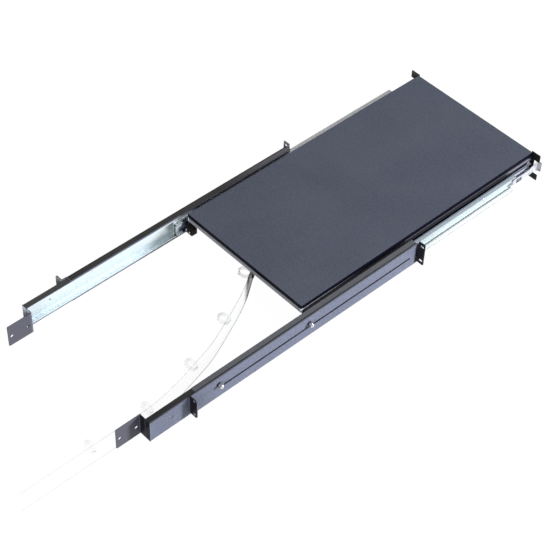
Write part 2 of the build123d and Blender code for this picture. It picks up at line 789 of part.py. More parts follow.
def ring_locations():
    path = band_line()
    spots = []
    for k in range(ring_count):
        share = (ring_start + ring_pitch * k) / path.length
        spots.append((path @ share, path % share))
    return spots


def cable_rings():
    with BuildPart() as rings:
        for point, heading in ring_locations():
            # inner side of the band is on the right of the heading
            side = Vector(heading.Y, -heading.X, 0)
            centre = point + side * (ring_size / 2 + band_gauge / 2 + 0.05)
            plane = Plane(origin=(centre.X, centre.Y, ring_z),
                          x_dir=(side.X, side.Y, 0), z_dir=(heading.X, heading.Y, 0))
            with BuildSketch(plane):
                Circle(ring_size / 2)
                Circle(ring_size / 2 - ring_gauge, mode=Mode.SUBTRACT)
                with BuildLine():
                    half = math.radians(ring_opening / 2)
                    reach = ring_size
                    Polyline((0, 0), (reach * math.cos(half), reach * math.sin(half)),
                             (reach * math.cos(half), -reach * math.sin(half)), close=True)
                make_face(mode=Mode.SUBTRACT)
            extrude(amount=ring_width / 2, both=True)
    return rings.part


def band_clamp():
    """Two cheeks under the shelf that grip the front of the band, on a foot pad."""
    path = band_line()
    grip = clamp_width * 0.45 / path.length
    point = path @ grip
    heading = path % grip
    side = Vector(heading.Y, -heading.X, 0)
    room = shelf_top - shelf_lip - 1.0
    foot = band_foot + 6.0
    angle = math.degrees(math.atan2(heading.Y, heading.X))
    with BuildPart() as clamp:
        for way in (-1, 1):
            spot = point + side * (way * (band_gauge / 2 + clamp_gauge / 2 + clamp_grip_gap))
            with Locations(Location((spot.X, spot.Y, foot), (0, 0, angle))):
                Box(clamp_width, clamp_gauge, room - foot + clamp_gauge,
                    align=(Align.CENTER, Align.CENTER, Align.MIN))
        with Locations(Location((point.X, point.Y, room + 0.3), (0, 0, angle))):
            Box(clamp_width, 3 * clamp_gauge + 10, shelf_top - shelf_gauge - room - 0.4,
                align=(Align.CENTER, Align.CENTER, Align.MIN))
    return clamp.part


os.makedirs("parts", exist_ok=True)

paired = {
    "rail": main_rail,
    "rail_bolts": rail_bolts,
    "rail_washers": bolt_washers,
    "rear_bracket": rear_bracket,
    "outer_member": outer_member,
    "mid_channel": mid_channel,
    "mid_carrier": mid_carrier,
    "mid_rivets": mid_rivets,
    "inner_member": inner_member,
    "inner_screws": inner_screws,
    "outer_cage": outer_cage,
    "outer_balls": outer_balls,
    "inner_cage": inner_cage,
    "inner_balls": inner_balls,
    "latch_lever": latch_lever,
    "lever_pivot": lever_pivot,
    "shelf_ear": shelf_ear,
    "ear_rivets": ear_rivets,
}
single = {
    "shelf": shelf,
    "shelf_stiffeners": stiffeners,
    "stop_block": stop_block,
    "stop_block_screws": block_screws,
    "cable_band": cable_band,
    "cable_rings": cable_rings,
    "band_clamp": band_clamp,
}

for title, make in paired.items():
    with BuildPart() as right:
        add(make())
    right.part.label = "right_" + title
    export_step(right.part, f"parts/right_{title}.step")
    with BuildPart() as left:
        add(mirror(right.part, about=Plane.YZ))
    left.part.label = "left_" + title
    export_step(left.part, f"parts/left_{title}.step")

for title, make in single.items():
    with BuildPart() as piece:
        add(make())
    piece.part.label = title
    export_step(piece.part, f"parts/{title}.step")
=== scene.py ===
import math

import bmesh
import bpy
from mathutils import Matrix, Vector


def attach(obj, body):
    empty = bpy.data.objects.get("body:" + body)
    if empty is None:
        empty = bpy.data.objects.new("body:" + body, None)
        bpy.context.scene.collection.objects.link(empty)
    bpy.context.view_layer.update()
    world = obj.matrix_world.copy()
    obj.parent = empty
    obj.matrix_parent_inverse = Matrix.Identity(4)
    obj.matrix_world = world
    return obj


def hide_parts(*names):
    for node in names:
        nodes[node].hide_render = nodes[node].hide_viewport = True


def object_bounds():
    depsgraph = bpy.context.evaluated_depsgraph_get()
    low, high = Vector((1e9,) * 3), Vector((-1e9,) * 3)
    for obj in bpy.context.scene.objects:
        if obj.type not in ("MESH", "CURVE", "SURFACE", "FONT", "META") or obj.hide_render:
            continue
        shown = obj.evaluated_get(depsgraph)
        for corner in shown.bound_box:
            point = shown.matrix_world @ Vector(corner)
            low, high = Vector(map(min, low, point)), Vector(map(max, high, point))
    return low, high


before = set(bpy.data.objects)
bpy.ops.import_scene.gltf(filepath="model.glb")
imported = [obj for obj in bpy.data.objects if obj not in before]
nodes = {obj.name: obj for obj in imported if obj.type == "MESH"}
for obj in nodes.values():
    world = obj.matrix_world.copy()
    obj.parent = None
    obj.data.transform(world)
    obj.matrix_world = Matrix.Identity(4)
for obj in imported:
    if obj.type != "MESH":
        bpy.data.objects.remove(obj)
cad_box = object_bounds()
sides = ("left", "right")


# Main rails and their rear brackets. Cold-rolled sheet, folded into channels, punched and
# powder-coated in a satin blue-grey; the coat has a fine orange peel and a little dust, its
# bends are painted dark and its level faces a dark brown, as painted shade.
def new_group(title, inputs, outputs):
    """A node group with float sockets: inputs as (label, value), outputs as labels."""
    tree = bpy.data.node_groups.new(title, "ShaderNodeTree")
    for label, value in inputs:
        socket = tree.interface.new_socket(name=label, in_out="INPUT", socket_type="NodeSocketFloat")
        socket.default_value = value
    for label in outputs:
        tree.interface.new_socket(name=label, in_out="OUTPUT", socket_type="NodeSocketFloat")
    return tree, tree.nodes.new("NodeGroupInput"), tree.nodes.new("NodeGroupOutput")


def wire(tree, source, target):
    tree.links.new(source, target)


def maths(tree, operation, first, second=None, third=None, clamp=False):
    """A Math node; each operand is a socket or a number."""
    node = tree.nodes.new("ShaderNodeMath")
    node.operation = operation
    node.use_clamp = clamp
    for k, operand in enumerate((first, second, third)):
        if operand is None:
            continue
        if isinstance(operand, (int, float)):
            node.inputs[k].default_value = operand
        else:
            wire(tree, operand, node.inputs[k])
    return node.outputs[0]


def ramp(tree, value, begins, full):
    """value, spread with soft ends from 0 where it begins to 1 where it is full. It may
    begin above where it is full, and then it comes in downwards."""
    node = tree.nodes.new("ShaderNodeMapRange")
    node.interpolation_type = "SMOOTHSTEP"
    node.inputs["From Min"].default_value = begins
    node.inputs["From Max"].default_value = full
    wire(tree, value, node.inputs["Value"])
    return node.outputs["Result"]


def place(tree, stretch=(1.0, 1.0, 1.0)):
    """The piece's own coordinates, in metres, stretched along the axes."""
    coordinates = tree.nodes.new("ShaderNodeTexCoord")
    mapping = tree.nodes.new("ShaderNodeMapping")
    mapping.inputs["Scale"].default_value = stretch
    wire(tree, coordinates.outputs["Object"], mapping.inputs["Vector"])
    return mapping.outputs["Vector"]


def axes_of(tree, vector):
    """The three axes of a vector, as sockets named X, Y and Z."""
    split = tree.nodes.new("ShaderNodeSeparateXYZ")
    wire(tree, vector, split.inputs["Vector"])
    return split.outputs


def spot_axis(tree, axis):
    """One of the piece's own coordinates, in metres. Across is the distance from the middle
    of the shelf."""
    if axis == "Across":
        return maths(tree, "ABSOLUTE", spot_axis(tree, "X"))
    return axes_of(tree, place(tree))[axis]


def face_axis(tree, axis):
    """How far a face looks along an axis, from -1 to 1."""
    geometry = tree.nodes.new("ShaderNodeNewGeometry")
    return axes_of(tree, geometry.outputs["Normal"])[axis]


def noise(tree, vector, scale, detail=2.0, roughness=0.5):
    node = tree.nodes.new("ShaderNodeTexNoise")
    node.inputs["Detail"].default_value = detail
    node.inputs["Roughness"].default_value = roughness
    wire(tree, vector, node.inputs["Vector"])
    if isinstance(scale, (int, float)):
        node.inputs["Scale"].default_value = scale
    else:
        wire(tree, scale, node.inputs["Scale"])
    return node.outputs["Fac"]


def blend_colour(tree, factor, low, high):
    """low where factor is 0, high where it is 1; each is a socket or a colour."""
    node = tree.nodes.new("ShaderNodeMix")
    node.data_type = "RGBA"
    wire(tree, factor, node.inputs["Factor"])
    for name, colour in (("A", low), ("B", high)):
        socket = [s for s in node.inputs if s.name == name and s.type == "RGBA"][0]
        if isinstance(colour, bpy.types.NodeSocket):
            wire(tree, colour, socket)
        else:
            socket.default_value = (*colour, 1.0)
    return [s for s in node.outputs if s.type == "RGBA"][0]


# Orange peel of a sprayed coat: a fine height, a slow mottle, and a fleck between the two.
mottle_span = (0.32, 0.68)
fleck_span = (0.35, 0.65)
fleck_per_grain = 0.35
coat_peel, peel_in, peel_out = new_group(
    "coat_peel", (("Grain", 900.0), ("Mottle Scale", 14.0)), ("Height", "Mottle", "Fleck"))
peel_place = place(coat_peel)
fine = noise(coat_peel, peel_place, peel_in.outputs["Grain"], 3.0, 0.6)
wire(coat_peel, fine, peel_out.inputs["Height"])
slow = noise(coat_peel, peel_place, peel_in.outputs["Mottle Scale"], 4.0, 0.55)
wire(coat_peel, ramp(coat_peel, slow, *mottle_span), peel_out.inputs["Mottle"])
fleck_scale = maths(coat_peel, "MULTIPLY", peel_in.outputs["Grain"], fleck_per_grain)
flecks = noise(coat_peel, peel_place, fleck_scale, 5.0, 0.8)
wire(coat_peel, ramp(coat_peel, flecks, *fleck_span), peel_out.inputs["Fleck"])

# Which way a face looks: Level is 1 on faces that look straight up, Bend on the round of a
# fold below them, and Rear on faces that look to the rear.
bend_span = (0.05, 0.3)
rear_span = (0.5, 0.9)
folds, folds_in, folds_out = new_group("folds", (("Level From", 0.93),), ("Level", "Bend", "Rear"))
lift = face_axis(folds, "Z")
level = maths(folds, "GREATER_THAN", lift, folds_in.outputs["Level From"])
wire(folds, level, folds_out.inputs["Level"])
off_wall = ramp(folds, lift, *bend_span)
not_level = maths(folds, "SUBTRACT", 1.0, level)
wire(folds, maths(folds, "MULTIPLY", off_wall, not_level), folds_out.inputs["Bend"])
wire(folds, ramp(folds, face_axis(folds, "Y"), *rear_span), folds_out.inputs["Rear"])

# Edge line: where a bevelled normal parts from the true one, broken up by a noise.
edge_samples = 8
turned_span = (0.02, 0.2)
broken_span = (0.2, 0.55)
edge_line, edge_in, edge_out = new_group(
    "edge_line", (("Radius", 0.0012), ("Breakup", 60.0)), ("Mask",))
rounded = edge_line.nodes.new("ShaderNodeBevel")
rounded.samples = edge_samples
wire(edge_line, edge_in.outputs["Radius"], rounded.inputs["Radius"])
true_face = edge_line.nodes.new("ShaderNodeNewGeometry")
agreement = edge_line.nodes.new("ShaderNodeVectorMath")
agreement.operation = "DOT_PRODUCT"
wire(edge_line, rounded.outputs["Normal"], agreement.inputs[0])
wire(edge_line, true_face.outputs["Normal"], agreement.inputs[1])
turned = maths(edge_line, "SUBTRACT", 1.0, agreement.outputs["Value"])
edge_noise = noise(edge_line, place(edge_line), edge_in.outputs["Breakup"], 3.0)
edge_mask = maths(edge_line, "MULTIPLY", ramp(edge_line, turned, *turned_span),
                  ramp(edge_line, edge_noise, *broken_span))
wire(edge_line, edge_mask, edge_out.inputs["Mask"])

# Settled dust: only on faces that look up, patchy, with a few specks.
facing_up_span = (0.5, 0.95)
patch_span = (0.38, 0.72)
speck_span = (0.68, 0.78)
speck_scale = 420.0
speck_gain = 1.6
dust, dust_in, dust_out = new_group("dust", (("Amount", 0.2), ("Patch Scale", 9.0)), ("Mask",))
facing_up = ramp(dust, face_axis(dust, "Z"), *facing_up_span)
dust_place = place(dust)
patch_noise = noise(dust, dust_place, dust_in.outputs["Patch Scale"], 5.0, 0.65)
patches = ramp(dust, patch_noise, *patch_span)
specks = ramp(dust, noise(dust, dust_place, speck_scale, 2.0), *speck_span)
settled = maths(dust, "MAXIMUM", patches, maths(dust, "MULTIPLY", specks, speck_gain), clamp=True)
dust_mask = maths(dust, "MULTIPLY", maths(dust, "MULTIPLY", facing_up, settled),
                  dust_in.outputs["Amount"])
wire(dust, dust_mask, dust_out.inputs["Mask"])


def new_material(title):
    material = bpy.data.materials.new(title)
    material.use_nodes = True
    tree = material.node_tree
    return material, tree, tree.nodes["Principled BSDF"]


def placed_group(tree, group, **values):
    """The outputs of a group placed in a material, with its own values."""
    node = tree.nodes.new("ShaderNodeGroup")
    node.node_tree = group
    for label, value in values.items():
        node.inputs[label.replace("_", " ")].default_value = value
    return node.outputs


def bump(tree, height, strength, depth, shader):
    node = tree.nodes.new("ShaderNodeBump")
    node.inputs["Strength"].default_value = strength
    node.inputs["Distance"].default_value = depth
    wire(tree, height, node.inputs["Height"])
    wire(tree, node.outputs["Normal"], shader.inputs["Normal"])


def dress(piece, material):
    piece.data.materials.clear()
    piece.data.materials.append(material)


def mark(colour, *runs, on=None):
    """A colour over a part of a piece. Each run is an axis, where the colour begins along it
    and where it is full; it shows where all the runs are. on is a kind of face of the folds
    group that the colour keeps to."""
    return colour, runs, on


def marked(tree, colour, marks, facing):
    """colour with marks laid over it, the later over the earlier."""
    for mark_colour, runs, on in marks:
        share = facing[on] if on else None
        for axis, begins, full in runs:
            run = ramp(tree, spot_axis(tree, axis), begins, full)
            share = maths(tree, "MULTIPLY", share, run) if share else run
        colour = blend_colour(tree, share, colour, mark_colour)
    return colour


fleck_share = 0.8
mottle_scale = 7.0
# the edge line marks wear on cut edges and is also a painted highlight along the bends
worn_and_highlight_radius = 0.0011
worn_and_highlight_breakup = 35.0
dust_patch_scale = 9.0
dusty_roughness = 0.35
folded_roughness = 0.3
peel_depth = 0.0002


def coat(title, wall, top, rear_shade, bend_shade, edge, rough, grain, peel, sheen, skin, dusting, marks=()):
    """A sprayed coat on folded sheet. wall and top are the deep and the pale colour of upright
    and of level faces, and the two differ as painted light and shade; the rear and the bend
    colours are painted shade on faces that look to the rear and on folds, and edge is the
    colour of cut edges, worn and with a painted highlight. sheen is the gloss of the whole
    coat. skin is the weight of the clear skin over it on upright and on level faces, and the
    share of it that is left on faces that look to the rear, where taking it off is painted
    shade. dusting is the share and the colour of the dust."""
    skin_upright, skin_level, skin_rear = skin
    dust_amount, dust_colour = dusting
    material, tree, shader = new_material(title)
    surface = placed_group(tree, coat_peel, Grain=grain, Mottle_Scale=mottle_scale)
    facing = placed_group(tree, folds)
    line = placed_group(tree, edge_line, Radius=worn_and_highlight_radius, Breakup=worn_and_highlight_breakup)
    settled_dust = placed_group(tree, dust, Amount=dust_amount, Patch_Scale=dust_patch_scale)
    tone = maths(tree, "MULTIPLY_ADD", surface["Fleck"], fleck_share,
                 maths(tree, "MULTIPLY", surface["Mottle"], 1.0 - fleck_share))
    # upright and level faces of the one coat take different colours: painted light and shade
    colour = blend_colour(tree, facing["Level"], blend_colour(tree, tone, *wall),
                          blend_colour(tree, tone, *top))
    # painted shade on faces that look to the rear
    colour = blend_colour(tree, facing["Rear"], colour, rear_shade)
    colour = marked(tree, colour, marks, facing)
    # painted shade on the folds
    colour = blend_colour(tree, facing["Bend"], colour, bend_shade)
    # cut edges: wear, and a painted highlight along the bends
    colour = blend_colour(tree, line["Mask"], colour, edge)
    colour = blend_colour(tree, settled_dust["Mask"], colour, dust_colour)
    wire(tree, colour, shader.inputs["Base Color"])
    finish = maths(tree, "MULTIPLY_ADD", surface["Mottle"], rough[1] - rough[0], rough[0])
    finish = maths(tree, "MULTIPLY_ADD", settled_dust["Mask"], dusty_roughness, finish)
    finish = maths(tree, "MULTIPLY_ADD", facing["Bend"], folded_roughness, finish, clamp=True)
    wire(tree, finish, shader.inputs["Roughness"])
    weight = maths(tree, "MULTIPLY_ADD", facing["Level"], skin_level - skin_upright, skin_upright)
    # the skin taken off faces that look to the rear takes their sheen away: painted shade
    left_over = maths(tree, "MULTIPLY_ADD", facing["Rear"], skin_rear - 1.0, 1.0)
    wire(tree, maths(tree, "MULTIPLY", weight, left_over), shader.inputs["Coat Weight"])
    shader.inputs["Coat Roughness"].default_value = (rough[0] + rough[1]) / 2
    shader.inputs["Specular IOR Level"].default_value = sheen
    bump(tree, surface["Height"], peel, peel_depth, shader)
    return material


def rail_finish(title, marks):
    return coat(
        title,
        wall=((0.108, 0.118, 0.164), (0.200, 0.216, 0.290)),
        top=((0.085, 0.088, 0.096), (0.150, 0.154, 0.166)),
        rear_shade=(0.010, 0.009, 0.013),
        bend_shade=(0.055, 0.057, 0.070),
        edge=(0.13, 0.13, 0.16),
        rough=(0.34, 0.44),
        grain=1000.0,
        peel=0.3,
        sheen=0.04,
        skin=(0.22, 0.22, 0.0),
        dusting=(0.10, (0.18, 0.17, 0.16)),
        marks=marks)


left_side = ("X", -0.10, -0.15)
right_side = ("X", 0.10, 0.15)

# The right rail's flange is painted darker, as painted shade, and lighter towards the front,
# as painted light, and its ears are painted paler, as painted light. Each flange has a
# painted shade line along its outer edge, the left web carries the painted shadow of its
# ear, and the cut walls of the long sight slot are painted dark, as painted shade.
flange_painted_lighter = ("Y", 0.24, 0.04)
flange_rim_painted_shade = (("Across", 0.2182, 0.2202), ("Z", 0.0310, 0.0325))
ear_painted_shadow = (("Y", 0.0125, 0.0095), ("Across", 0.2225, 0.2235))
slot_walls_painted_shade = (("Z", -0.0053, -0.0047), ("Z", 0.0013, 0.0007), ("Y", 0.6065, 0.6055),
              ("Y", 0.0285, 0.0295))
rail_coat = rail_finish("rail_coat", (
    mark((0.040, 0.038, 0.036), right_side, on="Level"),
    mark((0.115, 0.113, 0.120), right_side, flange_painted_lighter, on="Level"),
    mark((0.34, 0.33, 0.31), right_side, on="Rear"),
    mark((0.024, 0.025, 0.030), *flange_rim_painted_shade, on="Level"),
    mark((0.018, 0.018, 0.026), *ear_painted_shadow, left_side),
    mark((0.010, 0.011, 0.030), *slot_walls_painted_shade)))

# The bracket is painted dark, as painted shade, on the flanges that stand out of the rail and
# where it shows behind the sight slot; the right joggle is painted pale, as painted light, and
# the end plates are painted darker than the webs, as painted shade.
past_rail_painted_shade = ("Y", 0.684, 0.688)
behind_slot_painted_shade = (("Z", -0.0062, -0.0050), ("Z", 0.0022, 0.0010), ("Y", 0.601, 0.598))
end_plate_painted_shade = ("Y", 0.8095, 0.8125)
bracket_coat = rail_finish("bracket_coat", (
    mark((0.020, 0.020, 0.022), past_rail_painted_shade, left_side, on="Level"),
    mark((0.066, 0.067, 0.064), past_rail_painted_shade, right_side, on="Level"),
    mark((0.62, 0.66, 0.76), right_side, on="Rear"),
    mark((0.006, 0.006, 0.022), *behind_slot_painted_shade),
    mark((0.098, 0.098, 0.122), end_plate_painted_shade)))
for side in sides:
    dress(nodes[f"{side}_rail"], rail_coat)
    dress(nodes[f"{side}_rear_bracket"], bracket_coat)


# Slide members. Roll-formed from zinc-plated strip: bright, faintly blue, with fine lines
# along the rolling direction, a soft spangle and a dull mark here and there. The outward
# middle channel has a dark line of painted shade in the fold at the foot of its web.
line_stretch = (1.0, 0.012, 1.0)
line_span = (0.35, 0.65)
dull_scale = 22.0
dull_span = (0.58, 0.74)
rolled_lines, lines_in, lines_out = new_group(
    "rolled_lines", (("Across", 1500.0), ("Spangle", 220.0)), ("Height", "Line", "Cell", "Mark"))
line_place = place(rolled_lines, line_stretch)
lines_value = noise(rolled_lines, line_place, lines_in.outputs["Across"], 3.0, 0.6)
wire(rolled_lines, lines_value, lines_out.inputs["Height"])
wire(rolled_lines, ramp(rolled_lines, lines_value, *line_span), lines_out.inputs["Line"])
cells = rolled_lines.nodes.new("ShaderNodeTexVoronoi")
wire(rolled_lines, place(rolled_lines), cells.inputs["Vector"])
wire(rolled_lines, lines_in.outputs["Spangle"], cells.inputs["Scale"])
cell_tints = rolled_lines.nodes.new("ShaderNodeSeparateColor")
wire(rolled_lines, cells.outputs["Color"], cell_tints.inputs["Color"])
wire(rolled_lines, cell_tints.outputs["Red"], lines_out.inputs["Cell"])
dull = noise(rolled_lines, place(rolled_lines), dull_scale, 5.0, 0.7)
wire(rolled_lines, ramp(rolled_lines, dull, *dull_span), lines_out.inputs["Mark"])

# Fold shade: painted shade, a soft dark band between two heights, on all but level faces.
fold_shade_rise_span = (0.0, 0.3)
fold_shade_fall_span = (0.75, 1.0)
fold_shade_steepest = 0.9
fold_shade_line, fold_shade_in, fold_shade_out = new_group(
    "fold_shade_line", (("Foot", -0.0245), ("Head", -0.0135)), ("Mask",))
fold_shade_height = maths(fold_shade_line, "SUBTRACT", spot_axis(fold_shade_line, "Z"), fold_shade_in.outputs["Foot"])
fold_shade_run = maths(fold_shade_line, "SUBTRACT", fold_shade_in.outputs["Head"], fold_shade_in.outputs["Foot"])
fold_shade_share = maths(fold_shade_line, "DIVIDE", fold_shade_height, fold_shade_run)
fold_shade_rise = ramp(fold_shade_line, fold_shade_share, *fold_shade_rise_span)
fold_shade_fall = maths(fold_shade_line, "SUBTRACT", 1.0, ramp(fold_shade_line, fold_shade_share, *fold_shade_fall_span))
fold_shade_lift = maths(fold_shade_line, "ABSOLUTE", face_axis(fold_shade_line, "Z"))
fold_shade_on_walls = maths(fold_shade_line, "LESS_THAN", fold_shade_lift, fold_shade_steepest)
fold_shade_band = maths(fold_shade_line, "MULTIPLY", fold_shade_rise, fold_shade_fall)
wire(fold_shade_line, maths(fold_shade_line, "MULTIPLY", fold_shade_band, fold_shade_on_walls), fold_shade_out.inputs["Mask"])

spangle_scale = 220.0
cell_share = 0.35
line_share = 0.35
dull_share = 0.5
line_depth = 0.0001


def plated(title, bright, dulled, metallic, rough, across, depth, fold_shade=None, marks=()):
    """Plated strip or plated turned parts. bright and dulled are the plating's two colours,
    across is how closely its lines lie, and the colour given for the fold is painted shade
    laid as a line in it."""
    material, tree, shader = new_material(title)
    surface = placed_group(tree, rolled_lines, Across=across, Spangle=spangle_scale)
    tone = maths(tree, "MULTIPLY_ADD", surface["Cell"], cell_share,
                 maths(tree, "MULTIPLY", surface["Line"], line_share))
    tone = maths(tree, "MULTIPLY_ADD", surface["Mark"], dull_share, tone, clamp=True)
    colour = blend_colour(tree, tone, bright, dulled)
    if marks:
        colour = marked(tree, colour, marks, placed_group(tree, folds))
    # painted shade in the fold
    if fold_shade:
        colour = blend_colour(tree, placed_group(tree, fold_shade_line)["Mask"], colour, fold_shade)
    wire(tree, colour, shader.inputs["Base Color"])
    shader.inputs["Metallic"].default_value = metallic
    finish = maths(tree, "MULTIPLY_ADD", tone, rough[1] - rough[0], rough[0])
    wire(tree, finish, shader.inputs["Roughness"])
    bump(tree, surface["Height"], depth, line_depth, shader)
    return material


strip_rough = (0.30, 0.40)
strip_lines = 1500.0

# the outer member's back, seen through the sight slot, is painted dark as the rail's shade
outer_back_painted_shade = ("Across", 0.2218, 0.2222)
slide_zinc = plated("slide_zinc", (0.76, 0.84, 0.87), (0.68, 0.77, 0.81), 0.5, strip_rough,
                    strip_lines, 0.10, marks=(mark((0.010, 0.011, 0.030), outer_back_painted_shade),))

# the outward channel's head flange is painted darker than the web, as painted shade, less so
# at its outer edge; on the right it is painted white, as painted light, and so is its foot flange
head_flange_light_and_shade = ("Z", 0.014, 0.015)
head_flange_rim_less_shade = ("Across", 0.2095, 0.2125)
foot_flange_painted_light = ("Z", -0.0185, -0.0200)
folded_zinc = plated(
    "folded_zinc", (0.54, 0.63, 0.64), (0.48, 0.56, 0.58), 0.3, strip_rough, strip_lines, 0.10,
    # painted shade in the fold at the foot of the web
    fold_shade=(0.05, 0.07, 0.07),
    marks=(
        mark((0.25, 0.29, 0.35), head_flange_light_and_shade, on="Level"),
        mark((0.48, 0.53, 0.58), head_flange_light_and_shade, head_flange_rim_less_shade, on="Level"),
        mark((1.0, 1.0, 1.0), head_flange_light_and_shade, right_side, on="Level"),
        mark((1.0, 1.0, 1.0), foot_flange_painted_light, on="Level")))

# the inward channel is painted dark, as painted shade of the shelf, where it passes the
# shelf's rear corner, and has a painted shade line at its end
head_by_shelf_painted_shade = (("Z", 0.0155, 0.0165), ("Y", 0.33, 0.32))
shelf_shade_run = (("Y", 0.366, 0.360), ("Y", 0.300, 0.340))
shelf_shade_web = (("Z", -0.015, -0.012), ("Z", 0.007, -0.003), ("Y", 0.381, 0.366),
            ("Y", 0.300, 0.340))
channel_end_painted_shade = ("Y", 0.3805, 0.3815)
carrier_zinc = plated(
    "carrier_zinc", (0.84, 0.92, 0.95), (0.77, 0.86, 0.90), 0.5, strip_rough, strip_lines, 0.10,
    marks=(
        mark((0.010, 0.011, 0.015), *head_by_shelf_painted_shade, on="Level"),
        mark((0.02, 0.03, 0.06), *shelf_shade_run),
        mark((0.02, 0.04, 0.08), *shelf_shade_web),
        mark((0.04, 0.06, 0.07), channel_end_painted_shade)))

# the inner member is near black, but for its front, painted lighter in steps as painted
# light, and for its head at the rear, which carries a painted glint
front_painted_light = ("Y", -0.325, -0.352)
web_painted_light = ("Across", 0.1998, 0.1978)
below_head_painted_light = ("Z", 0.0120, 0.0105)
lower_half_painted_light = ("Z", 0.0020, -0.0010)
rear_head_painted_glint = (("Y", 0.3440, 0.3465), ("Z", 0.012, 0.016))
dark_zinc = plated(
    "dark_zinc", (0.016, 0.016, 0.024), (0.008, 0.008, 0.014), 0.0, (0.50, 0.60), strip_lines, 0.15,
    marks=(
        mark((0.34, 0.34, 0.42), front_painted_light, web_painted_light),
        mark((0.19, 0.20, 0.25), front_painted_light, below_head_painted_light),
        mark((0.48, 0.50, 0.57), front_painted_light, lower_half_painted_light),
        mark((0.90, 0.90, 0.92), *rear_head_painted_glint)))
for side in sides:
    dress(nodes[f"{side}_outer_member"], slide_zinc)
    dress(nodes[f"{side}_mid_channel"], folded_zinc)
    dress(nodes[f"{side}_mid_carrier"], carrier_zinc)
    dress(nodes[f"{side}_inner_member"], dark_zinc)


# Ball cages and balls. The cages are pressed from plain steel strip, and the balls that
# they space are hardened and polished.
cage_steel = plated("cage_steel", (0.56, 0.57, 0.58), (0.38, 0.38, 0.38), 1.0, (0.32, 0.50),
                    900.0, 0.2)
ball_steel = plated("ball_steel", (0.80, 0.80, 0.82), (0.70, 0.70, 0.72), 1.0, (0.06, 0.14),
                    300.0, 0.05)
for side in sides:
    for part in ("outer", "inner"):
        dress(nodes[f"{side}_{part}_cage"], cage_steel)
        dress(nodes[f"{side}_{part}_balls"], ball_steel)


# Bolts, screws, rivets and pivots. Turned or headed steel, bright zinc plated, which hold
# the rails, members, levers and ears; the stop block's screws are in a darker, duller zinc.
bright_zinc = plated("bright_zinc", (0.86, 0.86, 0.88), (0.62, 0.62, 0.64), 1.0, (0.12, 0.30),
                     700.0, 0.15)
dull_zinc = plated("dull_zinc", (0.30, 0.30, 0.32), (0.20, 0.20, 0.22), 0.8, (0.34, 0.50),
                   700.0, 0.15)
for side in sides:
    for part in ("rail_bolts", "mid_rivets", "inner_screws", "lever_pivot", "ear_rivets"):
        dress(nodes[f"{side}_{part}"], bright_zinc)
dress(nodes["stop_block_screws"], dull_zinc)


# Latch levers. Spring strip, blanked and curled, with a nickel plate; each turns on a pin at
# the front of the inner member. The strip carries painted shade round its window, and its
# nose is painted grey as painted shade.
lever_window_painted_shade = (("Y", -0.3835, -0.3820), ("Y", -0.3620, -0.3635), ("Z", -0.0150, -0.0140),
                ("Z", -0.0030, -0.0040))
lever_nose_painted_shade = ("Y", -0.4350, -0.4390)
lever_plate = plated(
    "lever_plate", (0.72, 0.73, 0.80), (0.56, 0.57, 0.64), 0.6, (0.24, 0.38), 600.0, 0.2,
    marks=(
        mark((0.02, 0.02, 0.04), *lever_window_painted_shade),
        mark((0.40, 0.40, 0.44), lever_nose_painted_shade)))
for side in sides:
    dress(nodes[f"{side}_latch_lever"], lever_plate)


# Shelf and its stiffeners. One folded sheet and two hats, sprayed in a fine-textured black;
# the level face is painted a pale blue-grey and the walls a deep black, as painted light and
# shade. The walls carry painted highlight lines under their upper fold, a painted glint at
# the rear corners and a painted reflection at the foot of the lip.
wall_painted_highlight = (("Z", 0.0292, 0.0270), ("Z", 0.0200, 0.0240), ("Y", 0.06, 0.00))
upper_wall_painted_highlight = (("Z", 0.0300, 0.0280), ("Y", 0.14, 0.36))
rear_corner_painted_glint = (("Z", 0.0310, 0.0290), ("Y", 0.3440, 0.3465), ("Across", 0.1900, 0.1915))
lip_foot_painted_reflection = ("Z", 0.0205, 0.0183)
shelf_coat = coat(
    "shelf_coat",
    wall=((0.002, 0.002, 0.005), (0.005, 0.005, 0.010)),
    top=((0.067, 0.074, 0.101), (0.105, 0.116, 0.154)),
    rear_shade=(0.008, 0.008, 0.011),
    bend_shade=(0.008, 0.008, 0.018),
    edge=(0.03, 0.03, 0.045),
    rough=(0.40, 0.48),
    grain=650.0,
    peel=0.5,
    sheen=0.02,
    skin=(0.0, 0.36, 1.0),
    dusting=(0.05, (0.20, 0.20, 0.19)),
    marks=(
        mark((0.070, 0.067, 0.076), *wall_painted_highlight),
        mark((0.30, 0.30, 0.32), *upper_wall_painted_highlight),
        mark((0.85, 0.85, 0.88), *rear_corner_painted_glint),
        mark((0.55, 0.55, 0.57), lip_foot_painted_reflection, on="Rear")))
dress(nodes["shelf"], shelf_coat)
dress(nodes["shelf_stiffeners"], shelf_coat)


# Ears, washers and band clamp. Small steel parts in a matt black finish: the ears are riveted
# to the shelf, the washers lie under the rail bolts, and the clamp holds the cable band
# under the shelf. The right ear's back is painted a greenish grey, as painted light.
matt_black = coat(
    "matt_black",
    wall=((0.008, 0.009, 0.008), (0.018, 0.020, 0.017)),
    top=((0.012, 0.012, 0.011), (0.026, 0.025, 0.023)),
    rear_shade=(0.010, 0.011, 0.010),
    bend_shade=(0.012, 0.012, 0.012),
    edge=(0.06, 0.06, 0.055),
    rough=(0.42, 0.55),
    grain=800.0,
    peel=0.3,
    sheen=0.12,
    skin=(0.25, 0.25, 0.0),
    dusting=(0.05, (0.15, 0.14, 0.13)),
    marks=(mark((0.060, 0.062, 0.055), right_side, on="Rear"),))
for side in sides:
    dress(nodes[f"{side}_shelf_ear"], matt_black)
    dress(nodes[f"{side}_rail_washers"], matt_black)
dress(nodes["band_clamp"], matt_black)


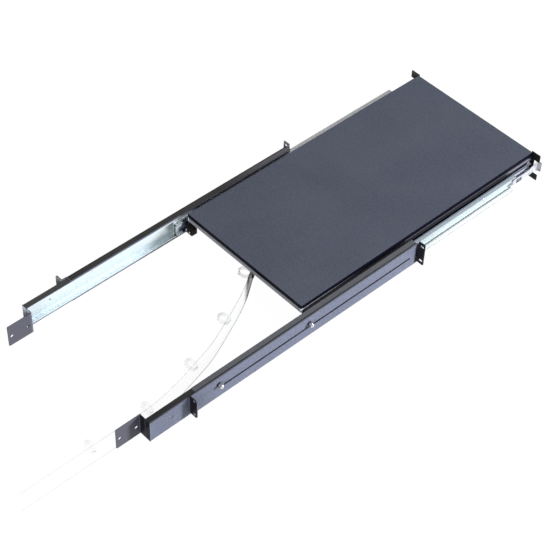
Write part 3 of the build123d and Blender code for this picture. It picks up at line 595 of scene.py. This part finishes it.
# Stop block. A folded steel cup, screwed on behind the shelf's rear right corner and dipped
# in a black deeper than that of the sprayed parts.
block_black = coat(
    "block_black",
    wall=((0.003, 0.003, 0.003), (0.007, 0.006, 0.007)),
    top=((0.004, 0.004, 0.004), (0.009, 0.008, 0.009)),
    rear_shade=(0.003, 0.003, 0.003),
    bend_shade=(0.010, 0.010, 0.010),
    edge=(0.09, 0.09, 0.09),
    rough=(0.42, 0.55),
    grain=800.0,
    peel=0.3,
    sheen=0.05,
    skin=(0.10, 0.10, 0.0),
    dusting=(0.03, (0.15, 0.14, 0.13)))
dress(nodes["stop_block"], block_black)


# Cable band. A long strip of clear flexible plastic on edge, with a rolled bead along its
# head and foot, gripped at the front by the clamp, where the strip carries a painted dark
# reflection of the shelf.
band_gauge = 0.0010
band_foot = -0.0330
band_head = 0.0250
tuck_head = 0.0165
tuck_end = 0.3570
bead_radius = 0.0010
band_knots = ((-0.0035, 0.3180), (-0.0561, 0.3932), (-0.1010, 0.4819), (-0.1449, 0.5898),
              (-0.1848, 0.8000))
band_rear = 1.1180
start_heading = (-0.66, 1.0, 0.0)
knot_steps = 16
rear_steps = 12
round_sides = 10
rearward = Vector((0.0, 1.0, 0.0))
up = Vector((0.0, 0.0, 1.0))


def bow(start, start_slope, end, end_slope, t):
    """A point of the smooth curve between two knots, for t from 0 to 1."""
    span = (end - start).length
    return (start * (2 * t ** 3 - 3 * t ** 2 + 1) + start_slope * span * (t ** 3 - 2 * t ** 2 + t)
            + end * (3 * t ** 2 - 2 * t ** 3) + end_slope * span * (t ** 3 - t ** 2))


def band_route():
    """Points along the band in plan, a smooth bow through the knots and then straight."""
    knots = [Vector((x, y, 0.0)) for x, y in band_knots]
    slopes = [Vector(start_heading).normalized()]
    for before, after in zip(knots, knots[2:]):
        slopes.append((after - before).normalized())
    slopes.append(rearward)
    points = []
    for k in range(len(knots) - 1):
        for step in range(knot_steps):
            points.append(bow(knots[k], slopes[k], knots[k + 1], slopes[k + 1], step / knot_steps))
    last = knots[-1]
    for step in range(rear_steps + 1):
        points.append(Vector((last.x, last.y + (band_rear - last.y) * step / rear_steps, 0.0)))
    return points


def along(route, distance):
    """The point of the route at a distance from its start, and its heading there."""
    for before, after in zip(route, route[1:]):
        run = (after - before).length
        if distance <= run:
            return before.lerp(after, distance / run), (after - before).normalized()
        distance -= run
    return route[-1], (route[-1] - route[-2]).normalized()


def join_loops(shell, loops, slot=0):
    """Smooth faces between closed loops of the same number of vertices."""
    for first, second in zip(loops, loops[1:]):
        for k in range(len(first)):
            n = (k + 1) % len(first)
            face = shell.faces.new((first[k], first[n], second[n], second[k]))
            face.material_index = slot
            face.smooth = True


def sweep(shell, stations, outline, slot=0):
    """A closed bar between copies of an outline; stations give (centre, aside, upward)."""
    loops = []
    for centre, aside, upward in stations:
        loops.append([shell.verts.new(centre + aside * u + upward * v) for u, v in outline(centre)])
    join_loops(shell, loops, slot)
    shell.faces.new(list(reversed(loops[0]))).material_index = slot
    shell.faces.new(loops[-1]).material_index = slot


def round_section(radius):
    """Points of a round section, in (aside, upward)."""
    turns = [math.tau * k / round_sides for k in range(round_sides)]
    return [(radius * math.cos(turn), radius * math.sin(turn)) for turn in turns]


def finished(shell, title, materials):
    bmesh.ops.recalc_face_normals(shell, faces=shell.faces)
    mesh = bpy.data.meshes.new(title)
    shell.to_mesh(mesh)
    shell.free()
    for material in materials:
        mesh.materials.append(material)
    piece = bpy.data.objects.new(title, mesh)
    bpy.context.scene.collection.objects.link(piece)
    return piece


plastic_grain = 260.0
plastic_mottle = 24.0
plastic_depth = 0.0002
shaded_share = 0.9
dark_reflection_begins = 0.405
dark_reflection_full = 0.362
dark_reflection_colour = (0.02, 0.02, 0.02)
thick_from = 0.37
thinned_share = 0.3
graze_power = 2.5


def clear_plastic(title, tint, clearest, densest, dark_reflection, clears_by):
    """Clear plastic: next to nothing seen flat on, greyer where the wall is seen along it.
    The darkness given is how dense a painted dark reflection at its front end is, and
    clears_by the Y at which it has thinned out."""
    material, tree, shader = new_material(title)
    surface = placed_group(tree, coat_peel, Grain=plastic_grain, Mottle_Scale=plastic_mottle)
    rear_way = spot_axis(tree, "Y")
    # the front end: a painted dark reflection of the shelf
    reflected_dark = maths(tree, "MULTIPLY", ramp(tree, rear_way, dark_reflection_begins, dark_reflection_full), dark_reflection)
    thick = ramp(tree, rear_way, clears_by, thick_from)
    tone = blend_colour(tree, surface["Mottle"], tint, tuple(c * shaded_share for c in tint))
    wire(tree, blend_colour(tree, reflected_dark, tone, dark_reflection_colour), shader.inputs["Base Color"])
    graze = tree.nodes.new("ShaderNodeLayerWeight")
    graze.inputs["Blend"].default_value = 0.5
    body = maths(tree, "POWER", graze.outputs["Facing"], graze_power)
    body = maths(tree, "MULTIPLY_ADD", body, densest - clearest, clearest)
    left_over = maths(tree, "MULTIPLY_ADD", thick, 1.0 - thinned_share, thinned_share)
    body = maths(tree, "MULTIPLY", body, left_over)
    wire(tree, maths(tree, "MAXIMUM", body, reflected_dark, clamp=True), shader.inputs["Alpha"])
    shader.inputs["Roughness"].default_value = 0.2
    shader.inputs["Specular IOR Level"].default_value = 0.3
    bump(tree, surface["Height"], 0.1, plastic_depth, shader)
    return material


clear_film = clear_plastic("clear_film", (0.70, 0.74, 0.76), 0.02, 0.06, 0.95, 0.90)
clear_bead = clear_plastic("clear_bead", (0.42, 0.43, 0.44), 0.30, 0.50, 0.95, 1.10)
route = band_route()


def stations_at(height_at):
    """Centre, sideways and upward directions for each point of the route."""
    out = []
    for k, point in enumerate(route):
        heading = (route[min(k + 1, len(route) - 1)] - route[max(k - 1, 0)]).normalized()
        centre = Vector((point.x, point.y, height_at(point)))
        out.append((centre, Vector((heading.y, -heading.x, 0.0)), up))
    return out


def foot_line(point):
    return band_foot + bead_radius


def head_line(point):
    """Height of the upper bead, lower where the strip is tucked under the shelf."""
    return (tuck_head if point.y < tuck_end else band_head) - bead_radius


def strip_outline(centre):
    half = band_gauge / 2
    reach = head_line(centre) - centre.z
    return ((-half, 0.0), (half, 0.0), (half, reach), (-half, reach))


def bead_outline(centre):
    return round_section(bead_radius)


strip_shell = bmesh.new()
sweep(strip_shell, stations_at(foot_line), strip_outline)
sweep(strip_shell, stations_at(foot_line), bead_outline, slot=1)
sweep(strip_shell, stations_at(head_line), bead_outline, slot=1)
band_strip = finished(strip_shell, "band_strip", (clear_film, clear_bead))
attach(band_strip, "shelf_carriage")
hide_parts("cable_band")


# Cable rings. Open hoops rolled from the same clear plastic, each with a lip at both sides
# of its mouth and one small rivet through the band.
ring_radius = 0.0150
ring_wall = 0.0016
ring_width = 0.0100
ring_middle = 0.0015
ring_clearance = 0.0001
ring_first = 0.0285
ring_pitch = 0.1550
ring_count = 5
ring_soft_share = 0.6
mouth_half = math.radians(20.0)
ring_steps = 44
lip_radius = 0.0016
rivet_radius = 0.0026
rivet_height = 0.0012
rivet_sides = 12
rivet_profile = ((0.0, 1.0), (0.5, 0.9), (0.85, 0.6), (1.0, 0.25))
clear_hoop = clear_plastic("clear_hoop", (0.50, 0.51, 0.53), 0.12, 0.60, 0.0, 0.80)


def hoop_outline(centre):
    half = ring_wall / 2
    edge = ring_width / 2
    soft = half * ring_soft_share
    return ((-half, -edge + soft), (-half + soft, -edge), (half - soft, -edge), (half, -edge + soft),
            (half, edge - soft), (half - soft, edge), (-half + soft, edge), (-half, edge - soft))


def lip_outline(centre):
    return round_section(lip_radius)


def rivet_loop(shell, middle, heading, radius):
    turns = [math.tau * j / rivet_sides for j in range(rivet_sides)]
    return [shell.verts.new(middle + (heading * math.cos(turn) + up * math.sin(turn)) * radius)
            for turn in turns]


ring_shell = bmesh.new()
for k in range(ring_count):
    foot_point, heading = along(route, ring_first + ring_pitch * k)
    inward = Vector((heading.y, -heading.x, 0.0))
    seat = foot_point + up * ring_middle
    centre = seat + inward * (ring_radius + band_gauge / 2 + ring_clearance)
    hoop = []
    for step in range(ring_steps + 1):
        turn = mouth_half + (math.tau - 2 * mouth_half) * step / ring_steps
        outward = inward * math.cos(turn) + up * math.sin(turn)
        hoop.append((centre + outward * (ring_radius - ring_wall / 2), outward, heading))
    sweep(ring_shell, hoop, hoop_outline)
    for mouth_side, outward, across in (hoop[0], hoop[-1]):
        lip_middle = mouth_side + outward * lip_radius / 2
        tangent = outward.cross(across)
        ends = [(lip_middle + across * way * ring_width / 2, outward, tangent) for way in (-1, 1)]
        sweep(ring_shell, ends, lip_outline)
    for way in (-1, 1):
        rivet = []
        for share, swell in rivet_profile:
            rise = band_gauge / 2 + rivet_height * share
            rivet.append(rivet_loop(ring_shell, seat + inward * way * rise, heading,
                                    rivet_radius * swell))
        join_loops(ring_shell, rivet)
        ring_shell.faces.new(rivet[0])
        ring_shell.faces.new(rivet[-1])
rolled_rings = finished(ring_shell, "rolled_rings", (clear_hoop,))
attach(rolled_rings, "shelf_carriage")
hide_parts("cable_rings")


# Studio floor and surround. A matt grey sheet just under the part takes its shadow; to the
# camera and in reflections it glows nearly white, and so does the surround.
floor_gap = 0.0005
floor_half = 14.0
floor_z = cad_box[0][2] - floor_gap
floor_grey = 0.30
floor_glow = 1.2
floor_seen_share = 0.82
floor_gloss_share = 0.80
floor_mesh = bpy.data.meshes.new("floor")
floor_mesh.from_pydata(
    [(-floor_half, -floor_half, floor_z), (floor_half, -floor_half, floor_z),
     (floor_half, floor_half, floor_z), (-floor_half, floor_half, floor_z)],
    [], [(0, 1, 2, 3)])
floor = bpy.data.objects.new("floor", floor_mesh)
bpy.context.scene.collection.objects.link(floor)
floor_paint, floor_tree, floor_shader = new_material("floor_paint")
floor_shader.inputs["Base Color"].default_value = (floor_grey, floor_grey, floor_grey, 1.0)
floor_shader.inputs["Roughness"].default_value = 0.9
floor_shader.inputs["Specular IOR Level"].default_value = 0.1
floor_light = floor_tree.nodes.new("ShaderNodeEmission")
floor_light.inputs["Color"].default_value = (1.0, 1.0, 1.0, 1.0)
floor_light.inputs["Strength"].default_value = floor_glow
seen = floor_tree.nodes.new("ShaderNodeLightPath")
seen_plainly = maths(floor_tree, "MAXIMUM", seen.outputs["Is Camera Ray"],
                     seen.outputs["Is Transmission Ray"])
floor_share = maths(floor_tree, "MAXIMUM",
                    maths(floor_tree, "MULTIPLY", seen_plainly, floor_seen_share),
                    maths(floor_tree, "MULTIPLY", seen.outputs["Is Glossy Ray"], floor_gloss_share))
floor_mix = floor_tree.nodes.new("ShaderNodeMixShader")
wire(floor_tree, floor_share, floor_mix.inputs["Fac"])
wire(floor_tree, floor_shader.outputs["BSDF"], floor_mix.inputs[1])
wire(floor_tree, floor_light.outputs["Emission"], floor_mix.inputs[2])
floor_end = [n for n in floor_tree.nodes if n.type == "OUTPUT_MATERIAL"][0]
wire(floor_tree, floor_mix.outputs["Shader"], floor_end.inputs["Surface"])
dress(floor, floor_paint)

dome_level = 0.08
sheen_level = 0.50
world = bpy.data.worlds.new("studio")
bpy.context.scene.world = world
world.use_nodes = True
sky = world.node_tree
dome = sky.nodes["Background"]
dome.inputs["Color"].default_value = (1.0, 1.0, 1.0, 1.0)
sky_seen = sky.nodes.new("ShaderNodeLightPath")
sky_direct = maths(sky, "MAXIMUM", sky_seen.outputs["Is Camera Ray"],
                   sky_seen.outputs["Is Transmission Ray"])
sky_level = maths(sky, "MULTIPLY_ADD", sky_direct, 1.0 - dome_level, dome_level)
sky_level = maths(sky, "MULTIPLY_ADD", sky_seen.outputs["Is Glossy Ray"],
                  sheen_level - dome_level, sky_level)
wire(sky, sky_level, dome.inputs["Strength"])


# Studio lamps. Three soft squares: the key light low at the left front, a weak one overhead
# and one behind, which lights the faces that look to the rear.
def soft_lamp(title, spot, aim, size, power, colour):
    lamp = bpy.data.lights.new(title, "AREA")
    lamp.energy = power
    lamp.size = size
    lamp.color = colour
    holder = bpy.data.objects.new(title, lamp)
    holder.location = spot
    holder.rotation_euler = (Vector(aim) - Vector(spot)).to_track_quat("-Z", "Y").to_euler()
    bpy.context.scene.collection.objects.link(holder)


soft_lamp("key_lamp", (-3.55, -2.5, 1.65), (0.0, 0.1, 0.0), 1.0, 348.0, (0.94, 0.96, 1.0))
soft_lamp("top_lamp", (0.2, -1.2, 4.2), (0.0, 0.1, 0.0), 1.8, 35.0, (0.95, 0.97, 1.0))
soft_lamp("rear_lamp", (-1.8, 4.1, 1.2), (0.0, 0.4, 0.0), 1.2, 110.0, (0.95, 0.98, 1.0))


# Camera. Solved from the photograph's straight edges; it stands above the rear left of the
# part, and its pixel values are for the photograph's 550 square.
photo_side = 550.0
focal_pixels = 1601.15
film_width = 36.0
camera_reach = 60.0
camera_spot = Vector((-1.8703, 2.0707, 2.6642))
camera_right = Vector((-0.676163, -0.736201, 0.028489))
camera_down = Vector((-0.547443, 0.476168, -0.688165))
camera_ahead = Vector((0.493062, -0.480908, -0.724995))
camera_data = bpy.data.cameras.new("camera")
camera_data.sensor_fit = "HORIZONTAL"
camera_data.sensor_width = film_width
camera_data.lens = film_width * focal_pixels / photo_side
camera_data.clip_end = camera_reach
camera = bpy.data.objects.new("camera", camera_data)
axes = Matrix((camera_right, -camera_down, -camera_ahead)).transposed().to_4x4()
camera.matrix_world = Matrix.Translation(camera_spot) @ axes
bpy.context.scene.collection.objects.link(camera)
bpy.context.scene.camera = camera
bpy.context.scene.view_settings.view_transform = "Standard"
